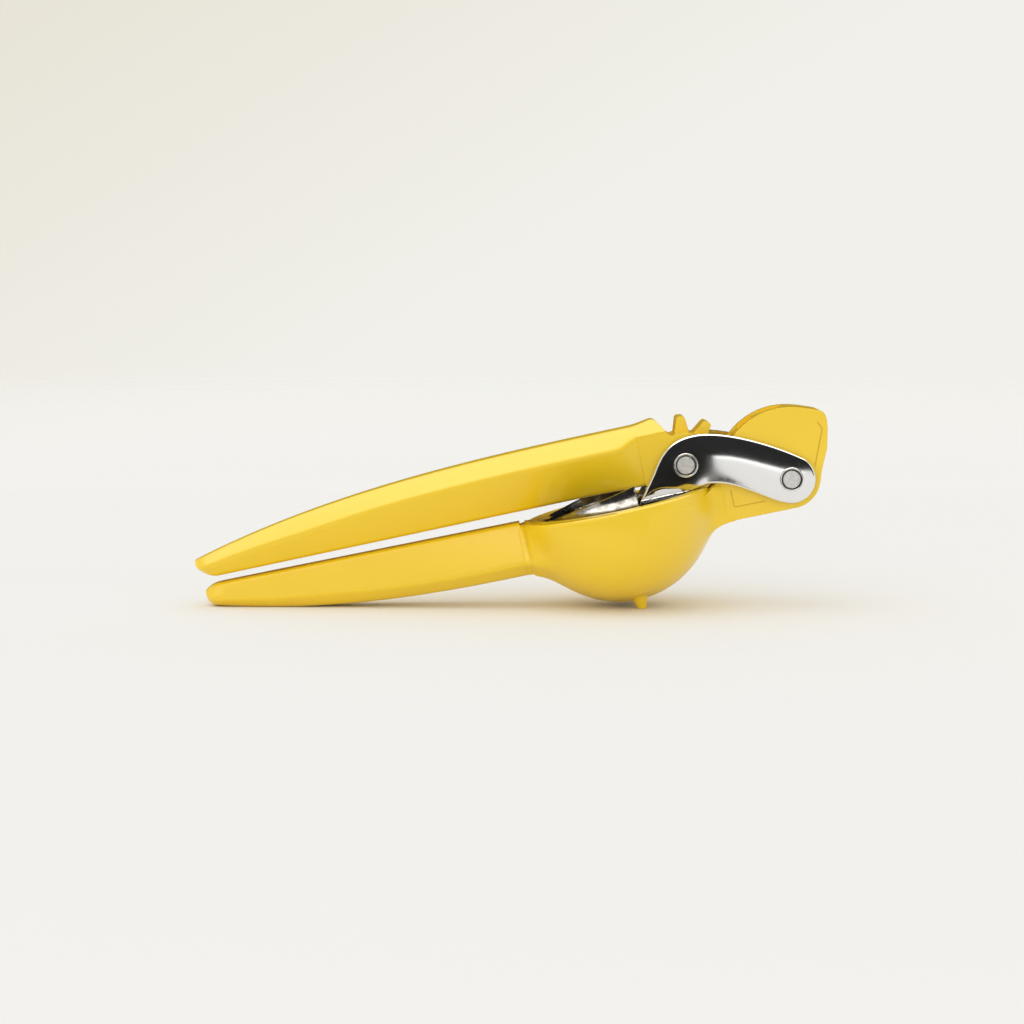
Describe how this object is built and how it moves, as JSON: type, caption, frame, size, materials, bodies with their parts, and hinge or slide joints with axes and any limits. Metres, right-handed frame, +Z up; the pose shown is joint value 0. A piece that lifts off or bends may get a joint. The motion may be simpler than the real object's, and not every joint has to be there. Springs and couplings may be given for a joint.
{
  "type": "hinged lemon squeezer",
  "caption": "Hinged hand squeezer for lemons: a yellow strainer bowl, a chromed press cup on side links and a geared upper handle.",
  "frame": {"origin": "middle of the part's outline on the table it lies on, in its middle plane", "axes": "+X along the table from the grips' tips towards the hinge, +Y across the tool, away from the front link, +Z up"},
  "size_m": [0.2446, 0.0736, 0.078],
  "materials": {
    "yellow_coat": "satin enamel on cast aluminium",
    "bright_chrome": "polished",
    "bright_steel": "bright pressed sheet and screws",
    "satin_steel": "ground pin ends",
    "white_polymer": "smooth bearing plastic"
  },
  "bodies": {
    "lower": {"bowl_housing": "yellow_coat", "strainer_basket": "bright_steel", "lower_grip": "yellow_coat", "lower_grip_plate": "yellow_coat", "lower_tang_screws": "bright_steel", "base_sleeve": "white_polymer"},
    "press": {"press_cup": "bright_chrome", "front_link": "bright_chrome", "rear_link": "bright_chrome", "link_screws": "bright_steel", "base_pin": "satin_steel", "pinion_pin": "satin_steel", "front_base_washer": "white_polymer", "rear_base_washer": "white_polymer", "front_pinion_washer": "white_polymer", "rear_pinion_washer": "white_polymer"},
    "handle": {"pinion_head": "yellow_coat", "pinion_sleeve": "white_polymer", "upper_grip": "yellow_coat", "upper_grip_plate": "yellow_coat", "upper_tang_screws": "bright_steel"}
  },
  "joints": [
    {"name": "press_hinge", "type": "hinge", "parent": "lower", "child": "press", "pos_m": [0.10835, 0, 0.05042], "axis": [0, 1, 0], "range_deg": [0, 56]},
    {"name": "handle_hinge", "type": "hinge", "parent": "press", "child": "handle", "pos_m": [0.06771, 0, 0.05582], "axis": [0, 1, 0], "range_deg": [0, 87.5]}
  ],
  "couplings": [
    {"joint": "handle_hinge", "follows": "press_hinge", "ratio": 1.5625}
  ]
}
